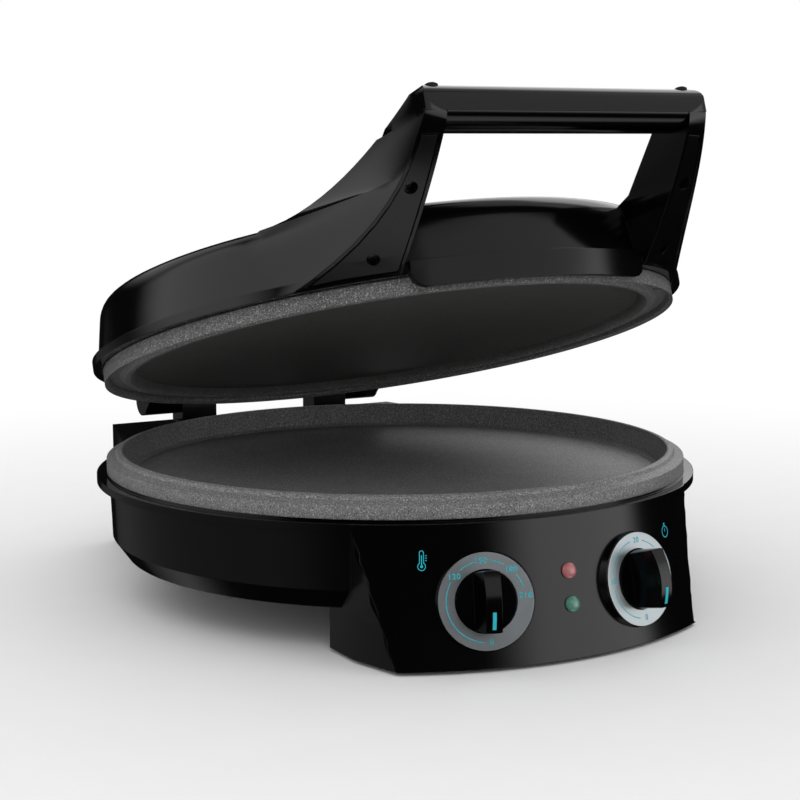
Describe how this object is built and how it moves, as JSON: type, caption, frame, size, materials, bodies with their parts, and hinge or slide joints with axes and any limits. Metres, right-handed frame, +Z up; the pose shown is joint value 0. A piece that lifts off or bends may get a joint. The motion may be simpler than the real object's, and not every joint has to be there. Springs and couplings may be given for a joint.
{
  "type": "electric pizza maker",
  "caption": "Countertop pizza cooker: round coated plate in a bowl with a two-dial control box, and a hinged domed lid with a second plate and a loop handle.",
  "frame": {"origin": "on the table, in the middle of the footprint of the base between the front panel's foot and the cord gland's face", "axes": "+X to the right seen from the front, +Y to the hinge at the rear, +Z up; the control panel faces -Y; lid open 17.5 degrees at rest"},
  "size_m": [0.344, 0.3926, 0.2848],
  "materials": {
    "black_plastic": "glossy black moulded plastic",
    "panel_plastic": "polished black plastic",
    "inner_plastic": "matt black plastic",
    "pale_plastic": "off-white heat-resistant plastic",
    "stone_coat": "cast aluminium with a speckled stone-look coating",
    "dark_coat": "cast aluminium with a dark fine-speckled coating",
    "dial_steel": "brushed metal",
    "dial_silver": "bright brushed metal",
    "zinc": "bright zinc",
    "tube_steel": "dull heating-element sheath",
    "sheet_metal": "bare sheet aluminium",
    "pointer_cyan": "cyan filling",
    "lens_red": "muted red translucent plastic",
    "lens_green": "muted green translucent plastic",
    "foot_rubber": "black rubber",
    "wire_sleeve": "silicone wire sleeve",
    "fuse_ceramic": "heat-resistant sleeve"
  },
  "bodies": {
    "base": {"base_housing": "black_plastic", "front_panel": "panel_plastic", "bowl_bottom": "inner_plastic", "control_box_cover": "inner_plastic", "rear_box_cover": "inner_plastic", "cover_screws": "zinc", "foot_front_left": "foot_rubber", "foot_front_right": "foot_rubber", "foot_rear_left": "foot_rubber", "foot_rear_right": "foot_rubber", "lower_plate": "stone_coat", "lower_heater": "tube_steel", "lower_reflector": "sheet_metal", "lower_plate_screws": "zinc", "plate_sensor": "zinc", "terminal_block": "pale_plastic", "cord_gland": "black_plastic", "base_wiring": "wire_sleeve", "lamp_holder": "pale_plastic", "red_lens": "lens_red", "green_lens": "lens_green", "hinge_pin_left": "zinc", "hinge_pin_right": "zinc", "thermostat": "pale_plastic", "thermostat_nut": "zinc", "thermostat_pedestal": "black_plastic", "thermostat_ring": "dial_steel", "timer": "pale_plastic", "timer_nut": "zinc", "timer_pedestal": "black_plastic", "timer_ring": "dial_silver"},
    "lid": {"lid_housing": "black_plastic", "handle_grip": "black_plastic", "arm_cover_left": "panel_plastic", "arm_cover_right": "panel_plastic", "arm_screws": "zinc", "handle_pad_left": "foot_rubber", "handle_pad_right": "foot_rubber", "upper_plate": "dark_coat", "upper_heater": "tube_steel", "upper_reflector": "sheet_metal", "upper_plate_screws": "zinc", "thermal_fuse": "fuse_ceramic", "lid_wiring": "wire_sleeve"},
    "thermostat_dial": {"thermostat_shaft": "zinc", "thermostat_knob": "black_plastic", "thermostat_pointer": "pointer_cyan"},
    "timer_dial": {"timer_shaft": "zinc", "timer_knob": "black_plastic", "timer_pointer": "pointer_cyan"}
  },
  "joints": [
    {"name": "lid_hinge", "type": "hinge", "parent": "base", "child": "lid", "pos_m": [0, 0.1847, 0.092], "axis": [-1, 0, 0], "range_deg": [-17.5, 164.3]},
    {"name": "thermostat_turn", "type": "hinge", "parent": "base", "child": "thermostat_dial", "pos_m": [-0.0471, -0.1733, 0.0342], "axis": [0.318, 0.9235, -0.2147], "range_deg": [0, 270]},
    {"name": "timer_turn", "type": "hinge", "parent": "base", "child": "timer_dial", "pos_m": [0.04338, -0.17425, 0.0342], "axis": [-0.2031, 0.9553, -0.2147], "range_deg": [0, 300]}
  ]
}
